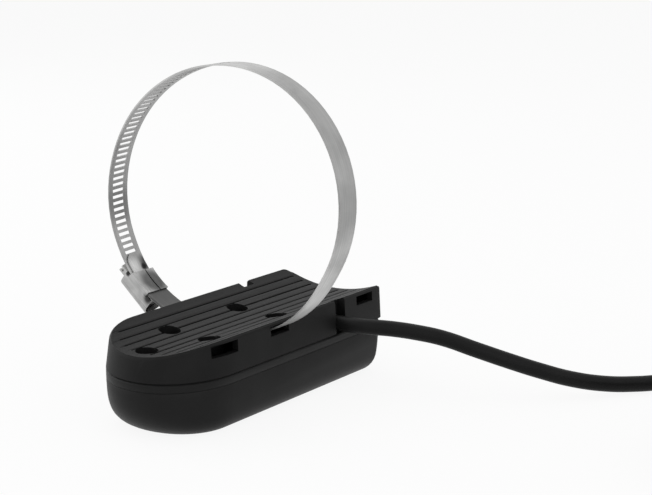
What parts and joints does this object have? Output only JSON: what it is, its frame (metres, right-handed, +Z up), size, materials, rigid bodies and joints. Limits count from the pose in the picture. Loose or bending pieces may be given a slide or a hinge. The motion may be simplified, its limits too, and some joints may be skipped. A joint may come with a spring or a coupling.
{
  "type": "sonar transducer",
  "caption": "Hull-shaped sonar transducer with a grooved saddle bracket, a worm-drive band clamp for a trolling motor and a cable with its plug.",
  "frame": {"origin": "middle of the flat underside of the case", "axes": "+X from the nose to the back, +Y to the side away from the cable, +Z up through the clamp loop"},
  "size_m": [0.2065, 0.3815, 0.1467],
  "materials": {
    "case_plastic": "matte, fine moulded texture",
    "bracket_plastic": "matte, fine moulded texture",
    "potting_resin": "cast resin",
    "element_ceramic": "fired ceramic",
    "backing_cork": "pressed cork",
    "board_laminate": "satin",
    "screw_black": "black oxide",
    "clamp_steel": "rolled stainless, satin",
    "screw_steel": "turned stainless",
    "cable_jacket": "smooth satin jacket",
    "tie_strap": "woven strap",
    "plug_rubber": "matte moulded rubber",
    "plug_plastic": "satin",
    "pin_brass": "gilt"
  },
  "bodies": {
    "transducer": {"transducer_case": "case_plastic", "transducer_lid": "case_plastic", "potting_fill": "potting_resin", "scan_bar": "element_ceramic", "bar_backing": "backing_cork", "sonar_disc": "element_ceramic", "disc_backing": "backing_cork", "temperature_sensor": "screw_steel", "terminal_board": "board_laminate", "mount_bracket": "bracket_plastic", "bracket_screws": "screw_black", "cable_gland": "cable_jacket", "clamp_band": "clamp_steel", "clamp_housing": "clamp_steel", "cable_run": "cable_jacket", "cable_coil": "cable_jacket", "coil_tie": "tie_strap", "cable_tail": "cable_jacket", "plug_boot": "plug_rubber", "plug_grip": "plug_rubber", "plug_sleeve": "plug_plastic", "plug_insert": "plug_plastic", "plug_pins": "pin_brass"},
    "clamp_screw": {"worm_screw": "screw_steel"}
  },
  "joints": [
    {"name": "clamp_screw_turn", "type": "hinge", "parent": "transducer", "child": "clamp_screw", "pos_m": [-0.0061, 0.04936, 0.04171], "axis": [0, 0.7573, 0.6531], "continuous": true}
  ]
}
